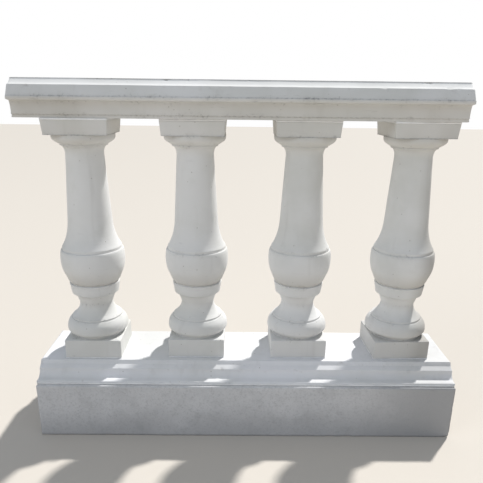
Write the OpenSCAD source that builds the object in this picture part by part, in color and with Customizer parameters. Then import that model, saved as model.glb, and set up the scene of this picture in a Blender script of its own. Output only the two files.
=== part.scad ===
// Free-standing length of concrete balustrade. Cast balusters stand between a moulded bottom rail
// and a moulded handrail, on thin mortar beds. The bottom rail lies on a rough kerb.
// Millimetres, +Z up, X along the run. The origin is on the ground, under the middle of the run.

/* [Run] */
// Number of balusters
baluster_count = 4; // [2:1:6]
// Spacing of the balusters, centre to centre
bay = 276; // [210:1:400]
// How far the kerb and the bottom rail run on past the axis of the first baluster
base_overhang_left = 140; // [100:1:200]
// How far the kerb and the bottom rail run on past the axis of the last baluster
base_overhang_right = 136; // [100:1:200]
// How far the handrail runs on past the axis of the first baluster
rail_overhang_left = 142; // [90:1:200]
// How far the handrail runs on past the axis of the last baluster
rail_overhang_right = 95; // [85:1:200]

/* [Kerb] */
// Height of the kerb above the ground
kerb_h = 150; // [80:1:300]
// How far the kerb stands proud of the bottom rail's foot, front and back
kerb_proud = 10; // [2:1:60]
// Width of the bevel along the kerb's top edges
kerb_bevel = 2; // [1:0.5:4]

/* [Levelling bed] */
// Thickness of the mortar bed between kerb and bottom rail
levelling_bed_h = 5; // [3:1:25]
// How far that bed stands proud of the bottom rail's foot
levelling_bed_proud = 1; // [0:0.5:2]

/* [Bottom rail] */
// Width of the flat top that the balusters stand on
base_top_w = 188; // [170:1:260]
// Width of the arris round the flat top
base_arris = 1.5; // [0.5:0.5:3]
// Height of the leaning band under the flat top
base_band_h = 8.5; // [6:0.5:30]
// How far the band leans out on its way down
base_band_batter = 5; // [0:0.5:8]
// Width of the sloping ledge below the band
base_ledge_w = 12; // [5:1:25]
// Drop of the sloping ledge
base_ledge_drop = 8; // [2:0.5:12]
// Height of the ledge's nose
base_nose_h = 2; // [1:0.5:8]
// Height of the hollow below the nose
base_hollow_h = 19.5; // [10:0.5:60]
// Width of the hollow
base_hollow_w = 21; // [8:1:50]
// Width of the small tread at the foot of the hollow
base_tread_w = 7; // [2:1:20]
// Fall of that tread
base_tread_drop = 1.5; // [0:0.5:3]
// Height of the upright foot
base_foot_h = 3.5; // [3:0.5:30]
// How far the foot leans out on its way down
base_foot_batter = 1; // [0:0.5:4]

/* [Mortar beds of the balusters] */
// Thickness of the bed under each baluster
foot_bed_h = 3; // [2:0.5:12]
// Thickness of the bed on top of each baluster
head_bed_h = 4.5; // [2:0.5:12]
// How far both beds stay back from the faces of the baluster
bed_recess = 0.5; // [0.5:0.5:10]

/* [Baluster blocks] */
// Side of the square plinth
plinth_w = 150; // [140:1:168]
// Height of the plinth
plinth_h = 49; // [25:1:90]
// Side of the square abacus at its top
abacus_w = 158; // [150:1:168]
// Height of the abacus
abacus_h = 34; // [20:1:70]
// How far each face of the abacus draws in towards its underside
abacus_draft = 3; // [0:0.5:6]

/* [Baluster foot] */
// Radius of the foot roll where it meets the plinth
foot_seat_r = 57; // [50:1:74]
// Widest radius of the foot roll
foot_roll_r = 82; // [78:1:84]
// Height of the foot roll's widest line above the plinth
foot_roll_rise = 19; // [10:1:40]
// Height from that line to the top of the foot roll
foot_roll_fall = 29; // [14:1:50]
// Radius of the foot roll at its top
foot_shoulder_r = 70; // [68:1:75]
// Radius of the fillet above the foot roll
foot_fillet_r = 67; // [60:0.5:67.5]
// Height of that fillet
foot_fillet_h = 4.5; // [2:0.5:10]

/* [Baluster neck and collar] */
// Height of the flare from the fillet up to the neck
lower_flare_h = 33; // [20:1:60]
// Radius of the neck
neck_r = 44.5; // [35:0.5:54]
// Height of the straight neck
neck_h = 5; // [2:1:15]
// Height of the hollow below the collar
collar_hollow_h = 27; // [15:1:45]
// Radius of the collar at its lower edge
collar_low_r = 62; // [56:1:65]
// Radius of the collar at its upper edge
collar_top_r = 67; // [65:1:70]
// Height of the collar
collar_h = 29; // [15:1:45]

/* [Baluster belly] */
// Widest radius of the belly
belly_r = 84; // [80:1:96]
// Height from the collar to the widest line
belly_rise = 66; // [40:1:100]
// Height from the widest line to the belly's shoulder
belly_fall = 26; // [15:1:45]
// Radius of the shoulder
belly_shoulder_r = 79.5; // [78:0.5:80]
// Radius of the fillet on the shoulder
belly_fillet_r = 77.5; // [70:0.5:78]
// Height of that fillet
belly_fillet_h = 7; // [2:0.5:12]

/* [Baluster shaft] */
// Radius of the shaft where its foot flare ends
shaft_low_r = 57; // [52:0.5:64]
// Radius of the shaft at its top
shaft_top_r = 47.5; // [40:0.5:51.5]
// Height of the flare at the foot of the shaft
shaft_flare_h = 70; // [40:1:120]
// Height of the tapering shaft above the flare
shaft_h = 167; // [80:1:320]
// Height of the hollow at the top of the shaft
top_hollow_h = 21; // [10:1:40]
// Radius of the ring under the cap mould
ring_r = 59; // [54:0.5:61]
// Height of that ring
ring_h = 5; // [2:0.5:12]
// Radius of the cap mould at its foot
cap_low_r = 63; // [61:0.5:66]
// Radius of the cap mould under the abacus
cap_r = 78.5; // [70:0.5:80]
// Height of the curved part of the cap mould
cap_round_h = 17; // [10:1:40]
// Height of the upright band of the cap mould
cap_band_h = 6; // [2:1:15]

/* [Handrail] */
// Width of the underside that lies on the balusters
rail_seat_w = 170; // [160:1:200]
// Height of the upright fillet at the underside
rail_fillet_h = 7.5; // [3:0.5:20]
// How far that fillet leans out on its way up
rail_fillet_batter = 1; // [0:0.5:4]
// Width of the small step between the fillet and the hollow
rail_quirk_w = 2; // [1:0.5:4]
// Height of the hollow under the lip
rail_hollow_h = 30.5; // [12:0.5:50]
// Width of the hollow
rail_hollow_w = 8; // [4:1:25]
// Width of the lip's underside
rail_drip_w = 14; // [5:1:30]
// Rise of the lip's underside
rail_drip_rise = 2; // [0:0.5:6]
// Height of the rounded lip
rail_lip_h = 9; // [6:1:30]
// How far the lip is rounded out past its two edges
rail_lip_round = 2; // [1:0.5:4]
// Height of the sloping face above the lip
rail_slope_h = 24.5; // [10:0.5:50]
// How far the sloping face leans in on its way up
rail_slope_in = 15; // [4:1:30]
// Height of the dished shoulder above the sloping face
rail_shoulder_h = 12; // [6:1:30]
// Width of the shoulder
rail_shoulder_w = 21; // [6:1:30]
// Height of the small upright edge round the flat top
rail_crown_h = 2.5; // [1:0.5:6]

/* [As set by hand] */
// How far each baluster was set towards the front, first to last
set_forward = [10, 0, 0, 3]; // [0:0.5:15]
// How far each baluster was turned on its bed in degrees, first to last
set_turn = [0, 0, 0, 2.5]; // [-3:0.5:3]

/* [Colours] */
// Painted precast concrete
cast_colour = "whitesmoke"; // [whitesmoke, gainsboro, white]
// Mortar in the joints
mortar_colour = "lightgray"; // [lightgray, silver, darkgray]
// Rough concrete of the kerb
kerb_colour = "silver"; // [lightgray, silver, darkgray]

/* [Hidden] */
$fn = 96;
// Steps in each bent stretch of a moulding
bend_steps = 8;
// How deep the turned body is rooted in its plinth and abacus, and the radius of its upper root
body_root = 10;
body_root_r = 40;

numbers = [for (i = [1:baluster_count]) i];

// Lengths along the run
axes_span = (baluster_count - 1) * bay;
run_left = max(base_overhang_left, rail_overhang_left);
run_right = max(base_overhang_right, rail_overhang_right);
first_axis = (run_left - run_right - axes_span) / 2;
base_left = first_axis - base_overhang_left;
base_l = base_overhang_left + axes_span + base_overhang_right;
rail_left = first_axis - rail_overhang_left;
rail_l = rail_overhang_left + axes_span + rail_overhang_right;

// Half widths of the bottom rail, from its flat top down to its foot
base_top_half = base_top_w / 2;
base_band_half = base_top_half + base_band_batter;
base_nose_half = base_band_half + base_ledge_w;
base_hollow_half = base_nose_half + base_hollow_w;
base_tread_half = base_hollow_half + base_tread_w;
base_foot_half = base_tread_half + base_foot_batter;
base_h = base_band_h + base_ledge_drop + base_nose_h + base_hollow_h + base_tread_drop + base_foot_h;

// Half widths of the handrail, from its underside up to its flat top
rail_seat_half = rail_seat_w / 2;
rail_fillet_half = rail_seat_half + rail_fillet_batter;
rail_quirk_half = rail_fillet_half + rail_quirk_w;
rail_hollow_half = rail_quirk_half + rail_hollow_w;
rail_lip_half = rail_hollow_half + rail_drip_w;
rail_slope_half = rail_lip_half - rail_slope_in;
rail_top_half = rail_slope_half - rail_shoulder_w;

// Heights of the seats, from the ground up
base_z = kerb_h + levelling_bed_h;
base_top_z = base_z + base_h;
baluster_z = base_top_z + foot_bed_h;
foot_h = foot_roll_rise + foot_roll_fall + foot_fillet_h;
collar_zone_h = lower_flare_h + neck_h + collar_hollow_h + collar_h;
belly_h = belly_rise + belly_fall + belly_fillet_h;
shaft_zone_h = shaft_flare_h + shaft_h + top_hollow_h + ring_h;
body_h = foot_h + collar_zone_h + belly_h + shaft_zone_h + cap_round_h + cap_band_h;
baluster_h = plinth_h + body_h + abacus_h;
head_bed_z = baluster_z + baluster_h;
rail_z = head_bed_z + head_bed_h;

// Bent stretch from p to q. lead and trail say how far it runs on in its first and last direction,
// as shares of the stretch's own width and height.
function bend(p, lead, trail, q) = [
    for (i = [0:bend_steps])
    let (
        t = i / bend_steps,
        a = [p.x + lead.x * (q.x - p.x), p.y + lead.y * (q.y - p.y)],
        b = [q.x - trail.x * (q.x - p.x), q.y - trail.y * (q.y - p.y)]
    )
    pow(1 - t, 3) * p + 3 * t * pow(1 - t, 2) * a + 3 * t * t * (1 - t) * b + pow(t, 3) * q
];

// Leads of the bent stretches: flat, upright and those in between
flat = [0.55, 0];
upright = [0, 0.55];
flare_start = [0.6, 0.25];
flare_end = [0.08, 0.4];
slack = [0.2, 0.35];
full = [0.4, 0.2];
undercut = [0.45, 0.3];
weathered = [0.55, 0.26];
dished_start = [0.4, 0.15];
dished_end = [0.35, 0.48];

// The outline of one long moulding: the near half, then its mirror image
function both_halves(half) = concat(
    half,
    [for (i = [len(half) - 1:-1:0]) [-half[i].x, half[i].y]]
);

// Value of baluster i in a list, or zero past the list's end
function set_of(list, i) = i <= len(list) ? list[i - 1] : 0;

// A moulding run along X from x0, with its outline's x across the run
module run_along(x0, length) {
    translate([x0, 0, 0])
        rotate([90, 0, 90])
            linear_extrude(height = length)
                children();
}

// A square block with its centre on the axis
module square_block(side, height) {
    translate([-side / 2, -side / 2, 0])
        cube([side, side, height]);
}

// The place of baluster i on the run, with the small errors it was set with
module at_baluster(i) {
    translate([first_axis + (i - 1) * bay, -set_of(set_forward, i), 0])
        rotate([0, 0, set_of(set_turn, i)])
            children();
}

module kerb() {
    half = base_foot_half + kerb_proud;
    outline = both_halves([
        [half, 0],
        [half, kerb_h - kerb_bevel],
        [half - kerb_bevel, kerb_h]
    ]);
    color(kerb_colour)
        run_along(base_left, base_l)
            polygon(outline);
}

module levelling_bed() {
    half = base_foot_half + levelling_bed_proud;
    color(mortar_colour)
        translate([base_left, -half, kerb_h])
            cube([base_l, 2 * half, levelling_bed_h]);
}

module bottom_rail() {
    ledge_z = base_h - base_band_h;
    nose_z = ledge_z - base_ledge_drop;
    hollow_z = nose_z - base_nose_h;
    tread_z = base_foot_h + base_tread_drop;
    outline = both_halves(concat(
        [
            [base_foot_half, 0],
            [base_tread_half, base_foot_h]
        ],
        bend([base_hollow_half, tread_z], flat, upright, [base_nose_half, hollow_z]),
        [
            [base_nose_half, nose_z],
            [base_band_half, ledge_z],
            [base_top_half, base_h - base_arris],
            [base_top_half - base_arris, base_h]
        ]
    ));
    color(cast_colour)
        translate([0, 0, base_z])
            run_along(base_left, base_l)
                polygon(outline);
}

// The turned body of a baluster: radius and height above its plinth, from the foot roll up
module turned_body() {
    roll_z = foot_roll_rise;
    roll_top_z = roll_z + foot_roll_fall;
    flare_z = roll_top_z + foot_fillet_h;
    neck_z = flare_z + lower_flare_h;
    hollow_z = neck_z + neck_h;
    collar_z = hollow_z + collar_hollow_h;
    collar_top_z = collar_z + collar_h;
    belly_z = collar_top_z + belly_rise;
    shoulder_z = belly_z + belly_fall;
    shaft_flare_z = shoulder_z + belly_fillet_h;
    shaft_z = shaft_flare_z + shaft_flare_h;
    top_hollow_z = shaft_z + shaft_h;
    ring_z = top_hollow_z + top_hollow_h;
    cap_z = ring_z + ring_h;
    cap_band_z = cap_z + cap_round_h;
    rotate_extrude()
        polygon(concat(
            [[0, -body_root], [foot_seat_r, -body_root]],
            bend([foot_seat_r, 0], undercut, upright, [foot_roll_r, roll_z]),
            bend([foot_roll_r, roll_z], upright, weathered, [foot_shoulder_r, roll_top_z]),
            [[foot_fillet_r, roll_top_z]],
            bend([foot_fillet_r, flare_z], flare_start, flare_end, [neck_r, neck_z]),
            bend([neck_r, hollow_z], slack, flat, [collar_low_r, collar_z]),
            bend([collar_top_r, collar_top_z], slack, upright, [belly_r, belly_z]),
            bend([belly_r, belly_z], upright, flat, [belly_shoulder_r, shoulder_z]),
            [[belly_fillet_r, shoulder_z]],
            bend([belly_fillet_r, shaft_flare_z], flare_start, flare_end, [shaft_low_r, shaft_z]),
            bend([shaft_top_r, top_hollow_z], upright, flat, [ring_r, ring_z]),
            [[ring_r, cap_z]],
            bend([cap_low_r, cap_z], full, upright, [cap_r, cap_band_z]),
            [
                [cap_r, body_h],
                [body_root_r, body_h],
                [body_root_r, body_h + body_root],
                [0, body_h + body_root]
            ]
        ));
}

// The abacus: a square block whose four faces draw in towards its underside
module abacus() {
    half = abacus_w / 2;
    side = both_halves([[half - abacus_draft, 0], [half, abacus_h]]);
    intersection() {
        run_along(-half, abacus_w)
            polygon(side);
        rotate([0, 0, 90])
            run_along(-half, abacus_w)
                polygon(side);
    }
}

module baluster(i) {
    color(cast_colour)
        at_baluster(i)
            translate([0, 0, baluster_z])
                union() {
                    square_block(plinth_w, plinth_h);
                    translate([0, 0, plinth_h])
                        turned_body();
                    translate([0, 0, plinth_h + body_h])
                        abacus();
                }
}

module foot_bed(i) {
    color(mortar_colour)
        at_baluster(i)
            translate([0, 0, base_top_z])
                square_block(plinth_w - 2 * bed_recess, foot_bed_h);
}

module head_bed(i) {
    color(mortar_colour)
        at_baluster(i)
            translate([0, 0, head_bed_z])
                square_block(abacus_w - 2 * bed_recess, head_bed_h);
}

module top_rail() {
    hollow_z = rail_fillet_h;
    drip_z = hollow_z + rail_hollow_h;
    lip_z = drip_z + rail_drip_rise;
    slope_z = lip_z + rail_lip_h;
    shoulder_z = slope_z + rail_slope_h;
    crown_z = shoulder_z + rail_shoulder_h;
    nose = [rail_lip_half + rail_lip_round, lip_z + rail_lip_h / 2];
    outline = both_halves(concat(
        [
            [rail_seat_half, 0],
            [rail_fillet_half, hollow_z]
        ],
        bend([rail_quirk_half, hollow_z], upright, flat, [rail_hollow_half, drip_z]),
        bend([rail_lip_half, lip_z], flat, upright, nose),
        bend(nose, upright, flat, [rail_lip_half, slope_z]),
        bend([rail_slope_half, shoulder_z], dished_start, dished_end, [rail_top_half, crown_z]),
        [[rail_top_half, crown_z + rail_crown_h]]
    ));
    color(cast_colour)
        translate([0, 0, rail_z])
            run_along(rail_left, rail_l)
                polygon(outline);
}

kerb();
levelling_bed();
bottom_rail();
for (i = numbers) foot_bed(i);
for (i = numbers) baluster(i);
for (i = numbers) head_bed(i);
top_rail();
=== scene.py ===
"""Looks of the concrete balustrade: cast and painted balusters, moulded rails, mortar beds and a rough kerb.

Every outline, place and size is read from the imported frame, in metres. Three shape trees make the pieces:
a turned casting, a moulding run along X, and a gridded block. All three share one wear group.
"""

import math

import bmesh
import bpy
import numpy as np
from mathutils import Matrix, Vector


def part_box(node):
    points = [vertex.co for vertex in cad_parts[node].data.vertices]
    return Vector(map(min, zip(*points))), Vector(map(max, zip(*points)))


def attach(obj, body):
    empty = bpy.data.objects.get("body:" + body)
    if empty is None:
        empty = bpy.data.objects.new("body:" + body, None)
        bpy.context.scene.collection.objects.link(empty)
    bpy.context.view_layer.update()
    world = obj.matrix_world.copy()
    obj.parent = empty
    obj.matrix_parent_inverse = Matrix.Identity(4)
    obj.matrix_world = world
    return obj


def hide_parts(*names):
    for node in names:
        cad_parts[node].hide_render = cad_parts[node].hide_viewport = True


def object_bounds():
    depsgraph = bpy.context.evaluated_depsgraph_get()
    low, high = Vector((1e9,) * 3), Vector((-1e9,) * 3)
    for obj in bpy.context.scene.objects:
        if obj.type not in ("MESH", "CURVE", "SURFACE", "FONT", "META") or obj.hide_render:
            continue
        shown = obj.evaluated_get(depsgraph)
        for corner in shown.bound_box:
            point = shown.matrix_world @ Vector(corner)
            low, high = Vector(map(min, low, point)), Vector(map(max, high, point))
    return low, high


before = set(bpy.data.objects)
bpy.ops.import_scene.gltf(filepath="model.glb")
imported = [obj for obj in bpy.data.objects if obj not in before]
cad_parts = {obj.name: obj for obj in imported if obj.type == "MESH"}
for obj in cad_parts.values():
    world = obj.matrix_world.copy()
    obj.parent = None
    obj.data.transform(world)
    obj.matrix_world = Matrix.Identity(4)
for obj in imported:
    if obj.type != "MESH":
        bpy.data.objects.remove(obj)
cad_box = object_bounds()

MM = 0.001
# Two numbers closer than this are the same place on a CAD piece
SAME_PLACE = 0.02 * MM
# Two radii closer than this belong to one turned ring
SAME_RING = 0.5 * MM
# Paint and dirt clog the gap under a foot roll where it is narrower than this, to this depth behind its edge
CREVICE = 4.5 * MM
CREVICE_DEPTH = 2 * MM
# The belly curls in above the collar by this much, over this height
BELLY_TUCK = 6 * MM
TUCK_HEIGHT = 11 * MM
# An outline's corner that turns by less than this is left as it is
SHARP_TURN = math.radians(18)
# One piece of a rounded corner turns by no more than this
PIECE_TURN = math.radians(25)
# A rounded corner takes no more than this share of the edges beside it
CUT_SHARE = 0.4
# How far wear spreads from an arris, and dirt from a recess
ARRIS_REACH = 5 * MM
RECESS_REACH = 6 * MM
# The camera, the stains and the painted shade and highlight are placed from these levels and ends, at given
# distances
LEFT_END, RIGHT_END = cad_box[0].x, cad_box[1].x
TOP = cad_box[1].z
BASE_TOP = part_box("bottom_rail")[1].z
HANDRAIL_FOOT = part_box("top_rail")[0].z
BALUSTERS = sorted(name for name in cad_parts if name.startswith("baluster_"))

# ---------------------------------------------------------------- wiring


class Graph:
    """A node tree while it is wired up. Values may be numbers, colours, texts or other nodes' sockets."""

    def __init__(self, tree):
        self.tree = tree

    def node(self, kind, *values, named=None, **settings):
        """Adds a node, gives its open sockets their values in order or by name, and returns it."""
        made = self.tree.nodes.new(kind)
        for key, value in settings.items():
            setattr(made, key, value)
        sockets = [s for s in made.inputs if s.enabled and not s.is_unavailable]
        for socket, value in zip(sockets, values):
            self.plug(value, socket)
        for name, value in (named or {}).items():
            self.plug(value, next(s for s in sockets if s.name == name))
        return made

    def plug(self, value, socket):
        if value is None:
            return
        if isinstance(value, bpy.types.Node):
            value = self.first(value)
        if isinstance(value, bpy.types.NodeSocket):
            self.tree.links.new(value, socket)
        else:
            socket.default_value = value

    @staticmethod
    def first(node):
        """The first open output of a node."""
        return next(s for s in node.outputs if s.enabled and not s.is_unavailable)

    def math(self, operation, *values):
        return self.first(self.node("ShaderNodeMath", *values, operation=operation))

    def add(self, a, b):
        return self.math("ADD", a, b)

    def sub(self, a, b):
        return self.math("SUBTRACT", a, b)

    def mul(self, a, b):
        return self.math("MULTIPLY", a, b)

    def vector(self, operation, *values):
        return self.first(self.node("ShaderNodeVectorMath", *values, operation=operation))

    def xyz(self, x=0.0, y=0.0, z=0.0):
        return self.first(self.node("ShaderNodeCombineXYZ", x, y, z))

    def parts(self, value):
        """The three parts of a vector."""
        return self.node("ShaderNodeSeparateXYZ", value).outputs

    def ramp(self, value, low, high, to_low=0.0, to_high=1.0):
        """Carries value smoothly from the range low..high to the range to_low..to_high, held at both ends."""
        limits = (low, high, to_low, to_high)
        return self.first(self.node("ShaderNodeMapRange", value, *limits, interpolation_type="SMOOTHSTEP"))

    def noise(self, place, scale, detail=2.0, roughness=0.5, seed=0.0):
        """Seeded noise about 0.5. scale is in waves per metre."""
        made = self.node("ShaderNodeTexNoise", noise_dimensions="4D")
        named = {"Vector": place, "W": seed, "Scale": scale, "Detail": detail, "Roughness": roughness}
        for name, value in named.items():
            self.plug(value, made.inputs[name])
        return made.outputs[0]


# ---------------------------------------------------------------- shape trees


def new_shape_tree(name, inputs):
    """A geometry tree with named inputs. Returns its graph, the input sockets by name and the output node."""
    tree = bpy.data.node_groups.new(name, "GeometryNodeTree")
    kinds = {
        float: "NodeSocketFloat",
        int: "NodeSocketInt",
        tuple: "NodeSocketVector",
        "shape": "NodeSocketGeometry",
        "finish": "NodeSocketMaterial",
        "object": "NodeSocketObject",
    }
    for label, value in inputs.items():
        kind = value if isinstance(value, str) else type(value)
        socket = tree.interface.new_socket(name=label, in_out="INPUT", socket_type=kinds[kind])
        if not isinstance(value, str):
            socket.default_value = value
    tree.interface.new_socket(name="Shape", in_out="OUTPUT", socket_type="NodeSocketGeometry")
    graph = Graph(tree)
    given = tree.nodes.new("NodeGroupInput").outputs
    return graph, {s.name: s for s in given if s.name}, tree.nodes.new("NodeGroupOutput")


WEAR = {"Lump height": 0.5 * MM, "Lumps per metre": 14.0, "Chip depth": 2.0 * MM, "Chips per metre": 38.0,
        "Chip share": 0.5, "Seed": 0.0}


def wear_group():
    """Hand-cast unevenness and chips along the arrises. It only ever takes material away.

    Level faces stay true, because the pieces are bedded on them.
    """
    graph, given, out = new_shape_tree("cast_wear", {"Shape": "shape", **WEAR})
    place = graph.node("GeometryNodeInputPosition")
    arris = graph.node("GeometryNodeInputNamedAttribute", "arris", data_type="FLOAT")
    lumps = graph.noise(place, given["Lumps per metre"], detail=3.0, roughness=0.45, seed=given["Seed"])
    lump_depth = graph.mul(lumps, graph.mul(given["Lump height"], 2.0))
    chips = graph.noise(place, given["Chips per metre"], detail=2.5, roughness=0.6, seed=given["Seed"])
    # A chip is where the noise passes a line, which lies lower the larger the share of chips is
    chip_line = graph.sub(0.85, graph.mul(given["Chip share"], 0.5))
    chipped = graph.mul(graph.ramp(chips, chip_line, graph.add(chip_line, 0.09)), arris)
    depth = graph.add(lump_depth, graph.mul(chipped, given["Chip depth"]))
    normal = graph.node("GeometryNodeInputNormal")
    level = graph.math("ABSOLUTE", graph.parts(normal)[2])
    depth = graph.mul(depth, graph.ramp(level, 0.93, 0.99, 1.0, 0.0))
    inward = graph.vector("SCALE", normal)
    graph.plug(graph.math("MULTIPLY", depth, -1.0), inward.node.inputs["Scale"])
    worn = graph.node("GeometryNodeSetPosition", named={"Geometry": given["Shape"], "Offset": inward})
    marked = graph.node(
        "GeometryNodeStoreNamedAttribute", worn, None, "chipped", chipped, data_type="FLOAT", domain="POINT"
    )
    graph.plug(marked, out.inputs[0])
    return graph.tree


def wear(graph, given, shape, group):
    """Adds the shared wear group at the end of a shape tree."""
    node = graph.tree.nodes.new("GeometryNodeGroup")
    node.node_tree = group
    graph.plug(shape, node.inputs["Shape"])
    for label in WEAR:
        graph.plug(given[label], node.inputs[label])
    return node.outputs[0]


def sampled(graph, shape, name, index):
    """A number that a line of points carries, at one of its points."""
    value = graph.node("GeometryNodeInputNamedAttribute", name, data_type="FLOAT")
    return graph.first(graph.node("GeometryNodeSampleIndex", shape, value, index, data_type="FLOAT"))


def sampled_place(graph, shape, index):
    place = graph.node("GeometryNodeInputPosition")
    made = graph.node("GeometryNodeSampleIndex", shape, place, index, data_type="FLOAT_VECTOR")
    return graph.parts(graph.first(made))


def point_count(graph, shape):
    return graph.node("GeometryNodeAttributeDomainSize", shape, component="MESH").outputs["Point Count"]


def stored(graph, shape, name, value):
    return graph.node(
        "GeometryNodeStoreNamedAttribute", shape, None, name, value, data_type="FLOAT", domain="POINT"
    )


def closed_grid(graph, long_count, round_count):
    """A grid whose second side runs once round. Returns it with each point's step along and step round."""
    around = graph.add(round_count, 1.0)
    grid = graph.node("GeometryNodeMeshGrid", 1.0, 1.0, long_count, around).outputs["Mesh"]
    grid = graph.node("GeometryNodeFlipFaces", grid)
    index = graph.node("GeometryNodeInputIndex")
    step_along = graph.math("FLOOR", graph.math("DIVIDE", graph.add(index, 0.5), around))
    step_round = graph.sub(index, graph.mul(step_along, around))
    return grid, step_along, step_round


def finished(graph, given, shape, group, out):
    """Welds the seam, wears the surface, sets it in place and gives it its material."""
    shape = graph.first(graph.node("GeometryNodeMergeByDistance", shape, named={"Distance": 0.01 * MM}))
    shape = wear(graph, given, shape, group)
    shape = graph.node("GeometryNodeTransform", shape, named={"Translation": given["Place"],
                                                              "Rotation": given["Turn"]})
    shape = graph.node("GeometryNodeSetShadeSmooth", shape)
    shape = graph.node("GeometryNodeRealizeInstances", shape)
    shape = graph.node("GeometryNodeSetMaterial", shape, named={"Material": given["Finish"]})
    graph.plug(shape, out.inputs[0])
    return graph.tree


PLACED = {"Place": (0.0, 0.0, 0.0), "Turn": (0.0, 0.0, 0.0), "Finish": "finish"}


def turned_tree(group):
    """A casting turned about Z from an outline of radii, drawn square where the outline says so."""
    graph, given, out = new_shape_tree(
        "turned_casting",
        {"Shape": "shape", "Sides": 160, "Corner crowding": 0.15, "Corner radius": 2.5 * MM,
         "Arris reach": ARRIS_REACH, **PLACED, **WEAR},
    )
    outline = given["Shape"]
    sides = given["Sides"]
    grid, ring, side = closed_grid(graph, point_count(graph, outline), sides)
    turn = graph.mul(graph.math("DIVIDE", graph.math("MODULO", side, sides), sides), 2 * math.pi)
    crowd = graph.mul(graph.math("SINE", graph.mul(turn, 4.0)), given["Corner crowding"])
    angle = graph.add(turn, crowd)
    across = graph.math("COSINE", angle)
    along = graph.math("SINE", angle)
    across_size = graph.math("ABSOLUTE", across)
    along_size = graph.math("ABSOLUTE", along)
    larger = graph.math("MAXIMUM", across_size, along_size)
    smaller = graph.math("MINIMUM", across_size, along_size)
    radius, _, height = sampled_place(graph, outline, ring)
    square = sampled(graph, outline, "square", ring)

    # Distance from the axis to a square's edge, and to its rounded corner
    straight = graph.math("DIVIDE", radius, larger)
    inner = graph.math("MAXIMUM", graph.sub(radius, given["Corner radius"]), 0.0)
    reach = graph.mul(inner, graph.add(across_size, along_size))
    corner_square = graph.mul(given["Corner radius"], given["Corner radius"])
    under_root = graph.add(graph.sub(graph.mul(reach, reach), graph.mul(graph.mul(inner, inner), 2.0)),
                           corner_square)
    rounded = graph.add(reach, graph.math("SQRT", graph.math("MAXIMUM", under_root, 0.0)))
    in_corner = graph.math("GREATER_THAN", graph.mul(straight, smaller), inner)
    square_radius = graph.add(graph.mul(rounded, in_corner), graph.mul(straight, graph.sub(1.0, in_corner)))
    distance = graph.add(graph.mul(square_radius, square), graph.mul(radius, graph.sub(1.0, square)))
    place = graph.xyz(graph.mul(distance, across), graph.mul(distance, along), height)
    shape = graph.node("GeometryNodeSetPosition", named={"Geometry": grid, "Position": place})

    # The upright corners are arrises too
    from_corner = graph.mul(radius, graph.sub(1.0, graph.math("DIVIDE", smaller, larger)))
    corner_arris = graph.mul(graph.ramp(from_corner, 0.0, given["Arris reach"], 1.0, 0.0), square)
    arris = graph.math("MAXIMUM", sampled(graph, outline, "arris", ring), corner_arris)
    shape = stored(graph, shape, "arris", arris)
    shape = stored(graph, shape, "recess", sampled(graph, outline, "recess", ring))
    return finished(graph, given, shape, group, out)


def run_tree(group):
    """A moulding: an outline in Y and Z, run along a line of stations on X. Its ends are left open."""
    graph, given, out = new_shape_tree(
        "run_moulding",
        {"Shape": "shape", "Stations": "object", "Wander": 0.8 * MM, **PLACED, **WEAR},
    )
    outline = given["Shape"]
    info = graph.node("GeometryNodeObjectInfo", given["Stations"])
    stations = next(s for s in info.outputs if s.name == "Geometry")
    around = point_count(graph, outline)
    grid, station, step = closed_grid(graph, point_count(graph, stations), around)
    corner = graph.math("MODULO", step, around)
    x = sampled_place(graph, stations, station)[0]
    _, y, z = sampled_place(graph, outline, corner)
    inset = sampled(graph, stations, "inset", station)
    y = graph.sub(y, graph.mul(sampled(graph, outline, "out_y", corner), inset))
    z = graph.sub(z, graph.mul(sampled(graph, outline, "out_z", corner), inset))

    # The mould was not quite straight: the whole outline wanders a little along the run
    along = graph.xyz(x, given["Seed"], 0.0)
    wander = graph.node("ShaderNodeTexNoise", named={"Vector": along, "Scale": 3.2, "Detail": 1.0})
    wander = graph.parts(graph.vector("SUBTRACT", wander.outputs[1], (0.5, 0.5, 0.5)))
    y = graph.add(y, graph.mul(wander[0], given["Wander"]))
    z = graph.add(z, graph.mul(wander[1], given["Wander"]))
    shape = graph.node("GeometryNodeSetPosition", named={"Geometry": grid, "Position": graph.xyz(x, y, z)})
    arris = graph.math(
        "MAXIMUM", sampled(graph, outline, "arris", corner), sampled(graph, stations, "arris", station)
    )
    shape = stored(graph, shape, "arris", arris)
    shape = stored(graph, shape, "recess", sampled(graph, outline, "recess", corner))
    return finished(graph, given, shape, group, out)


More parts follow.
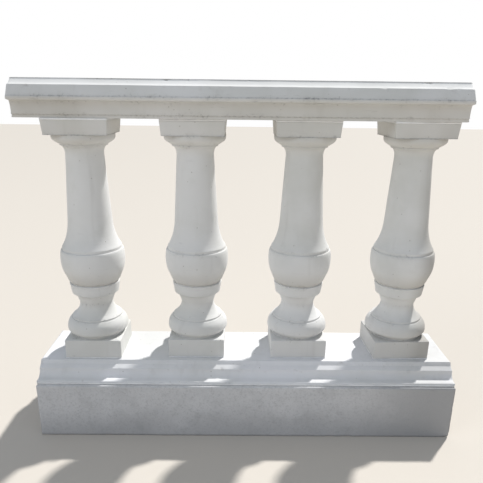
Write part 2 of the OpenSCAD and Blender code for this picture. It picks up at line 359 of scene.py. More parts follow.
def block_tree(group):
    """A gridded block with rounded edges."""
    graph, given, out = new_shape_tree(
        "cast_block",
        {"Shape": "shape", "Size": (0.1, 0.1, 0.1), "Cell": 5 * MM, "Edge radius": 3 * MM, **PLACED, **WEAR},
    )
    half = graph.vector("SCALE", given["Size"])
    half.node.inputs["Scale"].default_value = 0.5
    counts = [
        graph.add(graph.math("CEIL", graph.math("DIVIDE", side, given["Cell"])), 1.0)
        for side in graph.parts(given["Size"])
    ]
    block = graph.node("GeometryNodeMeshCube", given["Size"], *counts).outputs["Mesh"]
    edge = graph.xyz(given["Edge radius"], given["Edge radius"], given["Edge radius"])
    core = graph.vector("SUBTRACT", half, edge)
    place = graph.first(graph.node("GeometryNodeInputPosition"))
    far_core = graph.vector("MULTIPLY", core, (-1,) * 3)
    held = graph.vector("MINIMUM", graph.vector("MAXIMUM", place, far_core), core)
    past = graph.vector("SUBTRACT", place, held)
    rounded = graph.vector("SCALE", graph.vector("NORMALIZE", past))
    graph.plug(given["Edge radius"], rounded.node.inputs["Scale"])
    shape = graph.node(
        "GeometryNodeSetPosition", named={"Geometry": block, "Position": graph.vector("ADD", held, rounded)}
    )

    # A point past the core in two directions lies on an edge
    past_sizes = [graph.math("ABSOLUTE", part) for part in graph.parts(past)]
    total = graph.add(graph.add(past_sizes[0], past_sizes[1]), past_sizes[2])
    over = graph.math("DIVIDE", graph.sub(total, given["Edge radius"]), given["Edge radius"])
    shape = stored(graph, shape, "arris", graph.math("MINIMUM", graph.math("MAXIMUM", over, 0.0), 1.0))
    shape = stored(graph, shape, "recess", 0.0)
    return finished(graph, given, shape, group, out)


# ---------------------------------------------------------------- outlines read from the frame


def cad_mesh(node):
    """A welded copy of a CAD node's mesh."""
    mesh = bmesh.new()
    mesh.from_mesh(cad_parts[node].data)
    bmesh.ops.remove_doubles(mesh, verts=mesh.verts, dist=SAME_PLACE)
    return mesh


def end_outline(node):
    """The outline of a long piece as (y, z) corners, anticlockwise, read from its left end face."""
    mesh = cad_mesh(node)
    left = min(v.co.x for v in mesh.verts)

    def at_end(element):
        return all(abs(v.co.x - left) < SAME_PLACE for v in element.verts)

    rim = [e for e in mesh.edges if at_end(e) and sum(at_end(f) for f in e.link_faces) == 1]
    neighbours = {}
    for edge in rim:
        a, b = edge.verts
        neighbours.setdefault(a, []).append(b)
        neighbours.setdefault(b, []).append(a)
    walked = [next(iter(neighbours))]
    while len(walked) < len(neighbours):
        walked.append(next(v for v in neighbours[walked[-1]] if v not in walked))
    corners = [(v.co.y, v.co.z) for v in walked]
    mesh.free()
    area = sum(a[0] * b[1] - b[0] * a[1] for a, b in zip(corners, corners[1:] + corners[:1]))
    return corners if area > 0 else corners[::-1]


def casting_place(node):
    """Where a baluster stands on the ground plan, and how far it was turned."""
    low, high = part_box(node)
    centre = (low + high) / 2
    corner = max(
        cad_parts[node].data.vertices,
        key=lambda v: (v.co.z < low.z + SAME_PLACE, v.co.x + v.co.y),
    )
    quarter = math.atan2(corner.co.y - centre.y, corner.co.x - centre.x)
    return Vector((centre.x, centre.y, 0.0)), quarter - math.pi / 4


def tucked(rings):
    """Curls the belly's underside in where it meets the collar, so that the collar stands out as a band."""
    widest = max(range(len(rings)), key=lambda i: rings[i][0])
    neck = min(range(widest), key=lambda i: rings[i][0])
    # The collar's lower edge is the first sharp turn over the neck, and its side runs straight from there
    edge = next(i for i in range(neck + 1, widest) if turn_at(*rings[i - 1:i + 2]) > math.radians(45)) + 1
    while abs(turn_at(*rings[edge - 1:edge + 2])) < math.radians(1):
        edge += 1
    radii, heights, _ = zip(*rings[edge:])
    curl = []
    for share in (0.1, 0.32, 0.6, 1.0):
        height = heights[0] + share * TUCK_HEIGHT
        drawn_in = BELLY_TUCK * (1 - share) ** 2
        curl.append((np.interp(height, heights, radii) - drawn_in, height, 0.0))
    return rings[:edge + 1] + curl + [ring for ring in rings[edge:] if ring[1] > curl[-1][1] + MM]


def casting_outline(node):
    """A baluster's outline as (radius, height, square) corners from its underside up to its top."""
    centre, _ = casting_place(node)
    mesh = cad_mesh(node)
    levels = {}
    for vertex in mesh.verts:
        radius = math.hypot(vertex.co.x - centre.x, vertex.co.y - centre.y)
        levels.setdefault(round(vertex.co.z / SAME_PLACE), []).append((radius, vertex.co.z))
    mesh.free()
    reach = max(radius for level in levels.values() for radius, _ in level)
    blocks = []
    corners = []
    for level in sorted(levels):
        rings = []
        for radius, z in sorted(levels[level]):
            # Only the corners of the plinth and the abacus reach this far
            if radius > 0.9 * reach:
                blocks.append((radius / math.sqrt(2), z))
                break
            if not rings or radius - rings[-1][0] > SAME_RING:
                rings.append((radius, z))
        rings.sort(key=lambda ring: abs(ring[0] - corners[-1][0]) if corners else 0)
        corners += [(*ring, 0.0) for ring in rings]
    foot, foot_top, cap, cap_top = [(*block, 1.0) for block in blocks]
    clogged = [corner for corner in corners if corner[1] < foot_top[1] + CREVICE]
    corners = corners[len(clogged):]
    corners.insert(0, (corners[0][0] - CREVICE_DEPTH, foot_top[1], 0.0))
    corners = tucked(corners)
    return [(0.0, *foot[1:]), foot, foot_top, *corners, cap, cap_top, (0.0, *cap_top[1:])]


def turn_at(before, here, after):
    """The turn of an outline at a corner, positive where it bulges out."""
    ax, ay = here[0] - before[0], here[1] - before[1]
    bx, by = after[0] - here[0], after[1] - here[1]
    return math.atan2(ax * by - ay * bx, ax * bx + ay * by)


def eased_outline(corners, closed, arris_radius, step, bedded_radius):
    """Rounds the sharp corners of an outline and spaces its points evenly.

    bedded_radius is used instead for the corners at the outline's lowest and highest level.
    Returns an array with each point's corner values, then how near it is to an arris and to a recess.
    """
    count = len(corners)
    corners = [np.array(c, float) for c in corners]
    levels = [c[1] for c in corners]
    eased = []
    for i, here in enumerate(corners):
        if not closed and i in (0, count - 1):
            eased.append((here, 0))
            continue
        before, after = corners[i - 1], corners[(i + 1) % count]
        turn = turn_at(before, here, after)
        if abs(turn) < SHARP_TURN:
            eased.append((here, 0))
            continue
        back, ahead = before - here, after - here
        back_length, ahead_length = np.hypot(*back[:2]), np.hypot(*ahead[:2])
        radius = bedded_radius if here[1] in (min(levels), max(levels)) else arris_radius
        cut = min(radius * math.tan(abs(turn) / 2), CUT_SHARE * back_length, CUT_SHARE * ahead_length)
        start = here + back * (cut / back_length)
        end = here + ahead * (cut / ahead_length)
        pieces = max(2, math.ceil(abs(turn) / PIECE_TURN))
        for k in range(pieces + 1):
            t = k / pieces
            point = (1 - t) ** 2 * start + 2 * t * (1 - t) * here + t * t * end
            point[2:] = here[2:]
            eased.append((point, 1 if turn > 0 else -1))
    spaced = []
    following = eased[1:] + eased[:1] if closed else eased[1:]
    for (point, mark), (after, _) in zip(eased, following):
        length = np.hypot(*(after - point)[:2])
        spaced.append((point, mark))
        pieces = max(1, round(length / step))
        spaced += [(point + (after - point) * (k / pieces), 0) for k in range(1, pieces)]
    if not closed:
        spaced.append(eased[-1])
    points = np.array([p for p, _ in spaced])
    marks = np.array([m for _, m in spaced])
    gaps = np.linalg.norm(points[:, None, :2] - points[None, :, :2], axis=2)
    near = []
    for sign, reach in ((1, ARRIS_REACH), (-1, RECESS_REACH)):
        marked = gaps[:, marks == sign]
        nearest = marked.min(axis=1) if marked.size else np.full(len(points), 1.0)
        near.append(np.exp(-((nearest / reach) ** 2)))
    return np.column_stack([points, *near])


def lip_arris(corners):
    """How high the outermost arris of the handrail's outline lies."""
    reach = max(y for y, _ in corners)
    return max(z for y, z in corners if y > reach - 3 * MM)


def fillet_top(corners):
    """How high the narrow fillet reaches that stands on the handrail's underside."""
    underside = min(z for _, z in corners)
    return min(z for _, z in corners if z > underside + SAME_PLACE)


def belly_foot(outline):
    """How high a baluster's belly starts, which is where its outline steps in most on nearly one level."""
    steps = [(a, b) for a, b in zip(outline, outline[1:]) if a[2] == b[2] == 0 and b[1] - a[1] < 2 * MM]
    return max(steps, key=lambda step: step[0][0] - step[1][0])[1][1]


def abacus_foot(outline):
    """How high the underside of a baluster's square cap lies."""
    return outline[-3][1]


def line_of_points(name, places, closed, **values):
    """A line of points with edges between them, each point carrying the named values."""
    count = len(places)
    edges = [(i, i + 1) for i in range(count - 1)] + ([(count - 1, 0)] if closed else [])
    mesh = bpy.data.meshes.new(name)
    mesh.from_pydata([tuple(p) for p in places], edges, [])
    for label, numbers in values.items():
        attribute = mesh.attributes.new(label, "FLOAT", "POINT")
        attribute.data.foreach_set("value", np.asarray(numbers, np.float32))
    return mesh


def link(name, data):
    made = bpy.data.objects.new(name, data)
    bpy.context.scene.collection.objects.link(made)
    return made


def shaped(name, tree, mesh, values):
    """Runs a shape tree on a mesh and keeps the result as a plain mesh object."""
    carrier = link(name + "_carrier", mesh)
    modifier = carrier.modifiers.new("shape", "NODES")
    modifier.node_group = tree
    for item in tree.interface.items_tree:
        if item.in_out == "INPUT" and item.name in values:
            modifier[item.identifier] = values[item.name]
    depsgraph = bpy.context.evaluated_depsgraph_get()
    result = bpy.data.meshes.new_from_object(carrier.evaluated_get(depsgraph), depsgraph=depsgraph)
    bpy.data.objects.remove(carrier)
    result.name = name
    return link(name, result)


def close_ends(piece, low, high):
    """Keeps a moulding inside its box, fills its two ends with flat faces and turns every face outwards."""
    mesh = bmesh.new()
    mesh.from_mesh(piece.data)
    for vertex in mesh.verts:
        vertex.co = [min(max(value, least), most) for value, least, most in zip(vertex.co, low, high)]
    rim = [e for e in mesh.edges if e.is_boundary]
    for end in (low.x, high.x):
        ring = [e for e in rim if e.verts[0].co.x * end > 0]
        for edge in ring:
            for vertex in edge.verts:
                vertex.co.x = end
        for made in bmesh.ops.triangle_fill(mesh, edges=ring, use_beauty=True)["geom"]:
            if isinstance(made, bmesh.types.BMFace):
                made.smooth = False
    bmesh.ops.recalc_face_normals(mesh, faces=mesh.faces)
    mesh.to_mesh(piece.data)
    mesh.free()


def stand_for(piece, node):
    """The piece stands for a CAD node, on the part's one body."""
    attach(piece, "root")
    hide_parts(node)


# ---------------------------------------------------------------- pieces


def make_casting(node, tree, finish, seed):
    """A baluster: one casting, square at its foot and head and turned between them."""
    place, turn = casting_place(node)
    rows = eased_outline(
        casting_outline(node), closed=False, arris_radius=1.8 * MM, step=2.7 * MM, bedded_radius=0.5 * MM
    )
    outline = line_of_points(
        "casting_outline", [(r, 0.0, z) for r, z in rows[:, :2]], False,
        square=rows[:, 2], arris=rows[:, 3], recess=rows[:, 4],
    )
    values = {
        "Place": place, "Turn": (0.0, 0.0, turn), "Finish": finish, "Seed": seed,
        "Chip depth": 1.8 * MM, "Chip share": 0.42,
    }
    return shaped(node + "_casting", tree, outline, values)


def make_stations(low, high, spacing, edge_radius):
    """The stations of a moulding along X. Its end arrises are rounded by drawing the outline in."""
    steps = 4
    quarter = [k / steps * math.pi / 2 for k in range(steps + 1)]
    start = [(edge_radius * (1 - math.cos(a)), edge_radius * (1 - math.sin(a))) for a in quarter]
    inner = high - low - 2 * edge_radius
    count = round(inner / spacing)
    middle = [(edge_radius + inner * k / count, 0.0) for k in range(1, count)]
    stations = [(low + x, inset) for x, inset in start + middle]
    stations += [(high - x, inset) for x, inset in start[::-1]]
    xs = np.array([x for x, _ in stations])
    from_end = np.minimum(xs - low, high - xs)
    mesh = line_of_points(
        "stations", [(x, 0.0, 0.0) for x in xs], False, inset=[i for _, i in stations],
        arris=np.exp(-((from_end / (7 * MM)) ** 2)),
    )
    return link("stations", mesh)


def make_moulding(node, name, tree, finish, seed, worn_top=0.0, **wear_values):
    """A long moulded piece with the outline of its CAD node. worn_top draws its upper edges in."""
    low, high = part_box(node)
    corners = end_outline(node)
    top = max(z for _, z in corners)
    corners = [(y - math.copysign(worn_top, y), z) if z > top - SAME_PLACE else (y, z) for y, z in corners]
    rows = eased_outline(corners, closed=True, arris_radius=2.0 * MM, step=3.2 * MM, bedded_radius=0.6 * MM)
    flow = np.roll(rows[:, :2], -1, axis=0) - np.roll(rows[:, :2], 1, axis=0)
    flow /= np.linalg.norm(flow, axis=1)[:, None]
    places = [(0.0, y, z) for y, z in rows[:, :2]]
    outline = line_of_points(
        "moulding_outline", places, True, arris=rows[:, 2], recess=rows[:, 3],
        out_y=flow[:, 1], out_z=-flow[:, 0],
    )
    stations = make_stations(low.x, high.x, spacing=4.2 * MM, edge_radius=2.5 * MM)
    values = {"Stations": stations, "Finish": finish, "Seed": seed, **wear_values}
    piece = shaped(name, tree, outline, values)
    bpy.data.objects.remove(stations)
    close_ends(piece, low, high)
    return piece


def make_block(node, name, tree, finish, seed, cell, edge_radius, turn=0.0, size=None, **wear_values):
    """A block that fills the box of its CAD node."""
    low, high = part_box(node)
    values = {
        "Size": tuple(size or high - low), "Cell": cell, "Edge radius": edge_radius,
        "Place": (low + high) / 2, "Turn": (0.0, 0.0, turn), "Finish": finish, "Seed": seed, **wear_values,
    }
    return shaped(name, tree, bpy.data.meshes.new("block_start"), values)


def make_bed(node, tree, finish, seed, turn):
    """The mortar under or over a baluster. Its box has grown with its turn, which its size leaves out."""
    low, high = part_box(node)
    spread = abs(math.cos(turn)) + abs(math.sin(turn))
    size = Vector(((high.x - low.x) / spread, (high.y - low.y) / spread, high.z - low.z))
    return make_block(
        node, node + "_mortar", tree, finish, seed, cell=4 * MM, edge_radius=0.4 * MM, turn=turn, size=size,
        **{"Lump height": 0.15 * MM, "Chip depth": 0.4 * MM},
    )


# ---------------------------------------------------------------- finishes

# This grey is dirt, and also painted shade where it greys the rail ends and the right-hand side
GRIME_AND_SHADE = (0.36, 0.345, 0.32, 1.0)
# Painted warm shade, used just below the handrail's lip and under the bellies
WARM_SHADE = (0.38, 0.34, 0.27, 1.0)
# This dark grey is soot, and also painted shadow where it draws lines along arrises
SOOT_AND_SHADOW = (0.23, 0.23, 0.235, 1.0)
DUST = (0.41, 0.4, 0.375, 1.0)
HOLE_SHADE = (0.25, 0.245, 0.24, 1.0)
BARE_CONCRETE = (0.47, 0.455, 0.43, 1.0)
# A lighter white for the painted highlight on the handrail's shoulder
HIGHLIGHT_WHITE = (0.82, 0.82, 0.81, 1.0)


def new_finish(name):
    material = bpy.data.materials.new(name)
    material.use_nodes = True
    material.node_tree.nodes.clear()
    graph = Graph(material.node_tree)
    shader = graph.node("ShaderNodeBsdfPrincipled")
    out = graph.node("ShaderNodeOutputMaterial")
    graph.tree.links.new(shader.outputs["BSDF"], out.inputs["Surface"])
    place = graph.node("ShaderNodeTexCoord").outputs["Object"]
    return material, graph, shader, place


class Coat:
    """A colour built up in layers, each of which covers a share of those under it."""

    def __init__(self, graph, colour):
        self.graph = graph
        self.colour = (*colour, 1.0)

    def cover(self, share, colour):
        mix = self.graph.node("ShaderNodeMix", share, self.colour, colour, data_type="RGBA", blend_type="MIX")
        self.colour = self.graph.first(mix)


def toned(colour, *factors):
    """A colour times three factors, held at white, as the four channels that a socket takes."""
    return (*(min(1.0, channel * factor) for channel, factor in zip(colour, factors)), 1.0)


def dress(graph, shader, coat, roughness, relief, strength, depth):
    """Gives a finish its colour, its roughness and a relief that is too fine for the mesh."""
    graph.plug(coat.colour, shader.inputs["Base Color"])
    graph.plug(roughness, shader.inputs["Roughness"])
    bump = graph.node("ShaderNodeBump", named={"Strength": strength, "Distance": depth, "Height": relief})
    graph.plug(bump, shader.inputs["Normal"])


def carried(graph, name):
    """A number that the mesh carries at each point."""
    return graph.node("ShaderNodeAttribute", attribute_name=name).outputs["Fac"]


def pits(graph, place, per_metre, share, size):
    """Small round blow holes: 1 in a hole, 0 elsewhere. share is the part of the cells that hold one."""
    cells = graph.node("ShaderNodeTexVoronoi", feature="F1")
    graph.plug(place, cells.inputs["Vector"])
    graph.plug(per_metre, cells.inputs["Scale"])
    pick = graph.parts(cells.outputs["Color"])[0]
    inside = graph.ramp(cells.outputs["Distance"], size * 0.45, size, 1.0, 0.0)
    return graph.mul(inside, graph.math("LESS_THAN", pick, share))


def soot_and_shadow_line(graph, coat, up, height, specks, clouds):
    """A broken dark line along the arris at this height: painted shadow under the abacus, soot along the
    handrail's lip, and a dark line above the handrail's fillet.
    """
    below = graph.ramp(up, height - 3.0 * MM, height - 0.5 * MM)
    above = graph.ramp(up, height, height + 2.5 * MM, 1.0, 0.0)
    broken = graph.mul(graph.ramp(specks, 0.42, 0.62, 0.25, 1.0), graph.ramp(clouds, 0.35, 0.65, 0.2, 0.6))
    coat.cover(graph.mul(graph.mul(below, above), broken), SOOT_AND_SHADOW)


def shade_ends(graph, coat, along, left_share, right_share):
    """Painted shade: greys a rail towards its ends."""
    if left_share:
        coat.cover(graph.ramp(along, LEFT_END + 3 * MM, LEFT_END + 353 * MM, left_share, 0.0), GRIME_AND_SHADE)
    if right_share:
        coat.cover(graph.ramp(along, RIGHT_END - 403 * MM, RIGHT_END - 3 * MM, 0.0, right_share), GRIME_AND_SHADE)


def shade_right_side(graph, coat, along, up, share):
    """Painted shade: greys the right-hand balusters near the base, and twice as much under the handrail's
    right end.
    """
    rightwards = graph.ramp(along, RIGHT_END - 603 * MM, RIGHT_END - 153 * MM, 0.0, share)
    near_base = graph.ramp(up, BASE_TOP + 22 * MM, BASE_TOP + 142 * MM, 1.0, 0.0)
    coat.cover(graph.mul(rightwards, near_base), GRIME_AND_SHADE)
    at_end = graph.ramp(along, RIGHT_END - 133 * MM, RIGHT_END - 63 * MM, 0.0, 2 * share)
    below_head = graph.ramp(up, HANDRAIL_FOOT - 170 * MM, HANDRAIL_FOOT + 30 * MM, 1.0, 0.2)
    coat.cover(graph.mul(at_end, below_head), GRIME_AND_SHADE)


def shade_belly_underside(graph, coat, up, foot):
    """Painted shade on the underside of a belly, fading upwards."""
    on_belly = graph.ramp(up, foot - MM, foot + MM)
    coat.cover(graph.mul(on_belly, graph.ramp(up, foot, foot + 50 * MM, 0.3, 0.0)), WARM_SHADE)


def highlight_shoulder_and_dust_top(graph, coat, up, patches, clouds):
    """A painted highlight lightens the handrail's shoulder, and dust lies on its level top."""
    coat.cover(graph.ramp(up, TOP - 16 * MM, TOP - 12 * MM, 0.0, 0.5), HIGHLIGHT_WHITE)
    on_top = graph.ramp(up, TOP - 2.5 * MM, TOP - 1.2 * MM)
    dust = graph.add(graph.ramp(patches, 0.35, 0.65, 0.3, 0.65), graph.ramp(clouds, 0.4, 0.65, 0.0, 0.25))
    coat.cover(graph.mul(on_top, dust), DUST)


def shade_below_lip(graph, coat, along, up, lip):
    """Painted warm shade just below the handrail's lip, stronger towards the ends."""
    lower = graph.ramp(up, HANDRAIL_FOOT - 90 * MM, HANDRAIL_FOOT - 30 * MM)
    under_lip = graph.mul(lower, graph.ramp(up, lip - 4 * MM, lip, 1.0, 0.0))
    from_middle = graph.math("ABSOLUTE", along)
    outer = graph.ramp(from_middle, RIGHT_END - 253 * MM, RIGHT_END - 133 * MM, 0.14, 0.24)
    coat.cover(graph.mul(under_lip, outer), WARM_SHADE)


def masonry_paint(
    name, colour, shaded_ends=(0.0, 0.0), right_shade=0.0, lip=None, belly=None, recess_dirt=1.0, smudged=0.0,
    soot_and_shadow_heights=(),
):
    """Matt white masonry paint on cast concrete: mottled, grimy in the recesses, worn off chipped arrises.

    shaded_ends greys the left and right ends with painted shade, and right_shade paints shade on the lower and
    outer right side.
    lip is the height of the handrail's lip, on a piece that reaches it; with it the shoulder gets a painted
    highlight and what lies just below the lip gets painted shade. belly is where painted shade on a belly's
    underside starts. soot_and_shadow_heights lists the arrises that get a dark line.
    """
    material, graph, shader, place = new_finish(name)
    clouds = graph.noise(place, 3.5, detail=4.0, roughness=0.55, seed=1.0)
    patches = graph.noise(place, 17.0, detail=4.0, roughness=0.6, seed=2.0)
    grain = graph.noise(place, 420.0, detail=3.0, roughness=0.65, seed=3.0)
    upright = graph.vector("MULTIPLY", place, (34.0, 34.0, 2.2))
    runs = graph.noise(upright, 1.0, detail=3.0, roughness=0.6, seed=4.0)
    holes = pits(graph, place, 85.0, 0.10, 0.16)
    specks = graph.noise(place, 150.0, detail=3.0, roughness=0.7, seed=11.0)
    smeared = graph.vector("MULTIPLY", place, (11.0, 30.0, 75.0))
    smudges = graph.noise(smeared, 1.0, detail=4.0, roughness=0.65, seed=12.0)
    along, _, up = graph.parts(place)

    coat = Coat(graph, colour)
    dull = toned(colour, 0.86, 0.86, 0.83)
    coat.cover(graph.ramp(clouds, 0.4, 0.68), dull)
    coat.cover(graph.ramp(patches, 0.52, 0.72, 0.0, 0.35), dull)
    coat.cover(graph.ramp(runs, 0.56, 0.74, 0.0, 0.14), GRIME_AND_SHADE)
    # Rain keeps the recesses near the top cleaner
    rained = graph.ramp(up, TOP - 12 * MM, TOP - 5 * MM, recess_dirt, 0.2 * recess_dirt)
    recess = graph.mul(carried(graph, "recess"), rained)
    coat.cover(graph.mul(recess, graph.ramp(patches, 0.36, 0.6, 0.03, 0.16)), GRIME_AND_SHADE)
    dirty_spots = graph.mul(graph.ramp(specks, 0.52, 0.66), graph.ramp(patches, 0.48, 0.62))
    coat.cover(graph.mul(graph.mul(recess, dirty_spots), 0.6), SOOT_AND_SHADOW)
    for height in soot_and_shadow_heights:
        soot_and_shadow_line(graph, coat, up, height, specks, clouds)
    coat.cover(graph.mul(carried(graph, "chipped"), 0.75), BARE_CONCRETE)
    # Blow holes are darker with dirt and with painted shade, since the mesh carries only their relief
    coat.cover(graph.mul(holes, 0.7), GRIME_AND_SHADE)
    if smudged:
        coat.cover(graph.ramp(smudges, 0.62, 0.74, 0.0, smudged), SOOT_AND_SHADOW)
    shade_ends(graph, coat, along, *shaded_ends)
    if right_shade:
        shade_right_side(graph, coat, along, up, right_shade)
    if belly:
        shade_belly_underside(graph, coat, up, belly)
    if lip:
        highlight_shoulder_and_dust_top(graph, coat, up, patches, clouds)
        shade_below_lip(graph, coat, along, up, lip)

    relief = graph.add(graph.mul(grain, 0.35), graph.mul(patches, 0.9))
    relief = graph.sub(relief, graph.mul(holes, 1.6))
    roughness = graph.ramp(patches, 0.3, 0.7, 0.72, 0.9)
    dress(graph, shader, coat, roughness, relief, strength=0.35, depth=1.2 * MM)
    shader.inputs["Specular IOR Level"].default_value = 0.35
    return material


def mortar(name, colour):
    """Sandy cement mortar under a thin coat of paint."""
    material, graph, shader, place = new_finish(name)
    patches = graph.noise(place, 30.0, detail=4.0, roughness=0.6, seed=5.0)
    sand = graph.noise(place, 520.0, detail=3.0, roughness=0.7, seed=6.0)
    coat = Coat(graph, colour)
    dark = toned(colour, 0.88, 0.88, 0.88)
    coat.cover(graph.ramp(patches, 0.38, 0.66), dark)
    coat.cover(graph.ramp(sand, 0.5, 0.8, 0.0, 0.3), dark)
    relief = graph.add(graph.mul(sand, 0.8), patches)
    dress(graph, shader, coat, graph.ramp(sand, 0.3, 0.7, 0.8, 0.95), relief, strength=0.5, depth=1.5 * MM)
    return material


def kerb_concrete(name, colour):
    """Rough grey concrete, cast against boards: blotched and pitted, damp below, with painted shade darkening
    its ends.
    """
    material, graph, shader, place = new_finish(name)
    clouds = graph.noise(place, 5.0, detail=5.0, roughness=0.6, seed=7.0)
    blotches = graph.noise(place, 26.0, detail=5.0, roughness=0.65, seed=8.0)
    sand = graph.noise(place, 360.0, detail=4.0, roughness=0.7, seed=9.0)
    grit = graph.noise(place, 150.0, detail=3.0, roughness=0.75, seed=13.0)
    holes = pits(graph, place, 110.0, 0.25, 0.16)
    along, _, up = graph.parts(place)
    damp_edge = graph.add(up, graph.mul(graph.sub(clouds, 0.5), 0.12))

    coat = Coat(graph, colour)
    coat.cover(graph.ramp(clouds, 0.36, 0.66), toned(colour, 1.16, 1.16, 1.16))
    darkened_and_shaded = (
        graph.ramp(blotches, 0.5, 0.74, 0.0, 0.3),
        graph.ramp(grit, 0.48, 0.66, 0.0, 0.35),
        graph.ramp(sand, 0.5, 0.78, 0.0, 0.35),
        graph.ramp(damp_edge, 10 * MM, 110 * MM, 0.5, 0.0),
        # Painted shade at the kerb's right end, and a little at its left end
        graph.ramp(along, RIGHT_END - 353 * MM, RIGHT_END - 53 * MM, 0.0, 0.95),
        graph.ramp(along, LEFT_END + 53 * MM, LEFT_END + 453 * MM, 0.2, 0.0),
    )
    for share in darkened_and_shaded:
        coat.cover(share, toned(colour, 0.6, 0.6, 0.6))
    coat.cover(graph.mul(holes, 0.2), HOLE_SHADE)
    relief = graph.add(graph.mul(sand, 0.7), graph.mul(blotches, 1.4))
    relief = graph.sub(relief, graph.mul(holes, 1.5))
    roughness = graph.ramp(blotches, 0.3, 0.7, 0.8, 0.96)
    dress(graph, shader, coat, roughness, relief, strength=0.6, depth=2.0 * MM)
    shader.inputs["Specular IOR Level"].default_value = 0.3
    return material


# ---------------------------------------------------------------- stage


def make_camera():
    """Stands in front of the run, a little left of its middle, at about handrail height, looking down."""
    lens = bpy.data.cameras.new("camera")
    lens.sensor_width = 36.0
    lens.lens = 40.17
    lens.shift_y = 0.0797
    lens.clip_start = 0.05
    camera = link("camera", lens)
    yaw, pitch, roll = 0.0091, 0.3341, 0.012
    level = Matrix.Rotation(-yaw, 4, "Z")
    tilted = level @ Matrix.Rotation(math.pi / 2 - pitch, 4, "X")
    turned = tilted @ Matrix.Rotation(roll, 4, "Z")
    camera.matrix_world = Matrix.Translation((-0.0271, -1.3923, BASE_TOP + 0.6814)) @ turned
    bpy.context.scene.camera = camera


def facing(direction):
    """The rotation of a lamp that shines from this direction."""
    return Vector(direction).to_track_quat("Z", "Y").to_euler()


def make_light():
    """A key from behind on the right, a wide fill on the left, a weak one on the right and a pale surround."""
    key = bpy.data.lights.new("key", "SUN")
    key.energy = 4.5
    key.angle = math.radians(3)
    key.color = (1.0, 0.98, 0.95)
    lamp = link("key", key)
    lamp.rotation_euler = facing((0.412, 0.527, 0.743))

    middle = Vector((0.0, 0.0, 0.5))
    fills = (("fill", 4.5, 108.0, (-5.1, -3.9, 4.25)), ("side_fill", 4.0, 22.0, (4.6, -3.8, 2.4)))
    for name, size, energy, spot in fills:
        fill = bpy.data.lights.new(name, "AREA")
        fill.shape = "DISK"
        fill.size = size
        fill.energy = energy
        fill.color = (0.94, 0.98, 1.03)
        softbox = link(name, fill)
        softbox.location = spot
        softbox.rotation_euler = facing(softbox.location - middle)

    world = bpy.data.worlds.new("surround")
    world.use_nodes = True
    bpy.context.scene.world = world
    graph = Graph(world.node_tree)
    world.node_tree.nodes.clear()
    light = graph.node("ShaderNodeBackground", (0.92, 1.0, 1.12, 1.0), 0.39)
    seen = graph.node("ShaderNodeBackground", (1.0, 1.0, 1.0, 1.0), 1.0)
    path = graph.node("ShaderNodeLightPath").outputs["Is Camera Ray"]
    mixed = graph.node("ShaderNodeMixShader", path, light.outputs[0], seen.outputs[0])
    graph.node("ShaderNodeOutputWorld", mixed.outputs[0])
    bpy.context.scene.view_settings.view_transform = "Standard"


def make_floor():
    """A plain pale floor, level with the kerb's underside."""
    reach = 14.0
    corners = [(-reach, -reach, 0), (reach, -reach, 0), (reach, reach, 0), (-reach, reach, 0)]
    mesh = bpy.data.meshes.new("floor")
    mesh.from_pydata(corners, [], [(0, 1, 2, 3)])
    material, _, shader, _ = new_finish("pale_floor")
    shader.inputs["Base Color"].default_value = (0.57, 0.53, 0.475, 1.0)
    shader.inputs["Roughness"].default_value = 0.9
    mesh.materials.append(material)
    floor = link("floor", mesh)


# ---------------------------------------------------------------- build

make_camera()
make_light()
make_floor()

wear_tree = wear_group()
turned = turned_tree(wear_tree)
run = run_tree(wear_tree)
block = block_tree(wear_tree)

WHITE = (0.70, 0.70, 0.69)
# The bottom rail's white is lighter and bluer than WHITE: painted light that makes up for the duller light on
# the low base
WHITE_WITH_PAINTED_LIGHT = (0.75, 0.755, 0.775)
# The painted mortar is lighter than the paint beside it: painted light that lifts the shade in the narrow
# joints
MORTAR_WITH_PAINTED_LIGHT = (0.88, 0.88, 0.875)
GREY_CONCRETE = (0.58, 0.58, 0.585)

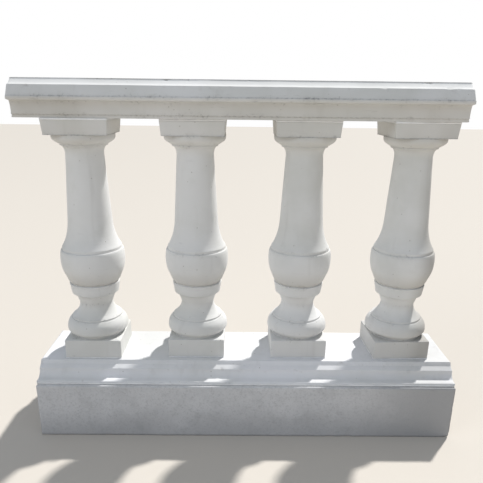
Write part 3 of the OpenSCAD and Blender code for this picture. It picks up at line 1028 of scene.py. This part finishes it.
rail_outline = end_outline("top_rail")
lip_height = lip_arris(rail_outline)
casting_rings = casting_outline(BALUSTERS[0])
rail_paint = masonry_paint(
    "handrail_paint", WHITE, shaded_ends=(0.15, 0.1), lip=lip_height, smudged=0.35,
    soot_and_shadow_heights=(fillet_top(rail_outline), lip_height),
)
casting_paint = masonry_paint(
    "casting_paint", WHITE, right_shade=0.38, lip=lip_height, belly=belly_foot(casting_rings), recess_dirt=0.75,
    smudged=0.1, soot_and_shadow_heights=(abacus_foot(casting_rings),),
)
# The bottom rail gets the lighter, bluer white, which is painted light
lit_base_paint = masonry_paint("bottom_rail_paint", WHITE_WITH_PAINTED_LIGHT, shaded_ends=(0.0, 0.2), recess_dirt=0.3)
joint_mortar = mortar("joint_mortar", MORTAR_WITH_PAINTED_LIGHT)
rough_concrete = kerb_concrete("kerb_concrete", GREY_CONCRETE)

for number, node in enumerate(BALUSTERS, start=1):
    casting = make_casting(node, turned, casting_paint, seed=10.0 + number)
    stand_for(casting, node)
    _, turn = casting_place(node)
    for bed_node in (f"foot_bed_{number}", f"head_bed_{number}"):
        joint = make_bed(bed_node, block, joint_mortar, seed=20.0 + number, turn=turn)
        stand_for(joint, bed_node)

top_rail = make_moulding(
    "top_rail", "handrail_moulding", run, rail_paint, seed=3.0, worn_top=1.7 * MM, **{"Chip depth": 2.2 * MM}
)
stand_for(top_rail, "top_rail")
bottom_rail = make_moulding("bottom_rail", "bottom_rail_moulding", run, lit_base_paint, seed=5.0)
stand_for(bottom_rail, "bottom_rail")
bed = make_block(
    "levelling_bed", "levelling_bed_mortar", block, joint_mortar, seed=30.0, cell=6 * MM, edge_radius=0.8 * MM,
    **{"Chip depth": 0.8 * MM},
)
stand_for(bed, "levelling_bed")
kerb = make_block(
    "kerb", "rough_kerb", block, rough_concrete, seed=40.0, cell=6 * MM, edge_radius=1.2 * MM,
    **{"Lump height": 1.1 * MM, "Lumps per metre": 18.0, "Chip depth": 2.6 * MM, "Chips per metre": 24.0,
       "Chip share": 0.6},
)
stand_for(kerb, "kerb")

bpy.context.view_layer.update()
